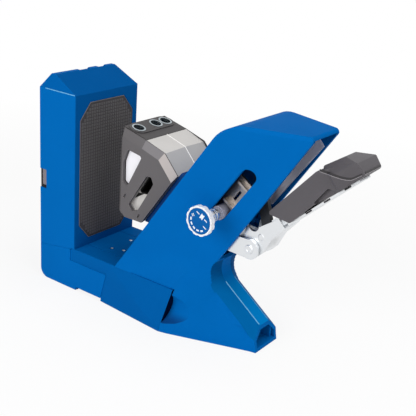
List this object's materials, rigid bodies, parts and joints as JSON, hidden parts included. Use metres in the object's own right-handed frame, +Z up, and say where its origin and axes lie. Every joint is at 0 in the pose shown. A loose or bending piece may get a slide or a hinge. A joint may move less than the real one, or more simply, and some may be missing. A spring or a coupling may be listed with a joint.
{
  "type": "pocket hole jig",
  "caption": "Bench pocket hole jig: a padded column, a tray and a leaning arm whose drill guide block slides down to clamp a board when the handle is pulled.",
  "frame": {"origin": "underside of the tray, on the centre plane, in the plane of the pad's face", "axes": "+X from the pad towards the handle, +Z up, -Y the side with the knob"},
  "size_m": [0.3071, 0.0969, 0.199],
  "materials": {
    "blue_plastic": "fine matt moulding grain",
    "pad_rubber": "fine square texture",
    "clip_plastic": "plain",
    "zinc_steel": "bright zinc plate",
    "dark_steel": "dark oxide",
    "guide_casting": "smooth casting",
    "dark_plastic": "matt with worn edges",
    "liner_plastic": "plain",
    "pocket_plastic": "plain",
    "grip_plastic": "matt",
    "knob_rim": "white with scalloped edge",
    "knob_dial": "plain dial with raised white marks"
  },
  "bodies": {
    "body": {"column_foot": "blue_plastic", "base_tray": "blue_plastic", "column_shell": "blue_plastic", "grip_pad": "pad_rubber", "column_clips": "clip_plastic", "arm_body": "blue_plastic", "guide_rails": "clip_plastic", "pivot_frame": "zinc_steel", "pivot_rivets": "zinc_steel", "base_screws": "zinc_steel"},
    "guide": {"guide_carriage": "blue_plastic", "carriage_keeper": "zinc_steel", "draw_bar": "dark_steel", "guide_core": "guide_casting", "chip_liners": "liner_plastic", "chip_pockets": "pocket_plastic", "side_plate_near": "dark_plastic", "side_plate_far": "dark_plastic", "top_plate": "dark_plastic", "clamp_face": "dark_plastic", "bushing_a": "zinc_steel", "bushing_b": "zinc_steel", "bushing_c": "zinc_steel"},
    "handle": {"handle_bracket": "zinc_steel", "handle_grip": "grip_plastic", "grip_spine": "zinc_steel", "link_rivet": "zinc_steel"},
    "link": {"pull_link": "dark_steel", "link_pin": "zinc_steel"},
    "adjuster": {"shuttle": "zinc_steel", "shuttle_nut": "clip_plastic"},
    "knob": {"knob_stem": "zinc_steel", "knob_rim": "knob_rim", "knob_dial": "knob_dial"}
  },
  "joints": [
    {"name": "handle_hinge", "type": "hinge", "parent": "body", "child": "handle", "pos_m": [0.1726, 0, 0.0892], "axis": [0, 1, 0], "range_deg": [0, 78]},
    {"name": "carriage_slide", "type": "slide", "parent": "body", "child": "guide", "axis": [-0.5664, 0, -0.8241], "range_m": [0, 0.053]},
    {"name": "link_swing", "type": "hinge", "parent": "handle", "child": "link", "pos_m": [0.1811, 0, 0.10156], "axis": [0, 1, 0], "range_deg": [-116.6, 0]},
    {"name": "shuttle_slide", "type": "slide", "parent": "body", "child": "adjuster", "axis": [0.5664, 0, 0.8241], "range_m": [0, 0.045]},
    {"name": "knob_turn", "type": "hinge", "parent": "adjuster", "child": "knob", "pos_m": [0.14769, -0.00005, 0.11691], "axis": [0, -1, 0], "range_deg": [-180, 180]}
  ],
  "couplings": [
    {"joint": "carriage_slide", "follows": "handle_hinge", "m_per_rad": 0.03893},
    {"joint": "link_swing", "follows": "handle_hinge", "ratio": -1.4922}
  ]
}
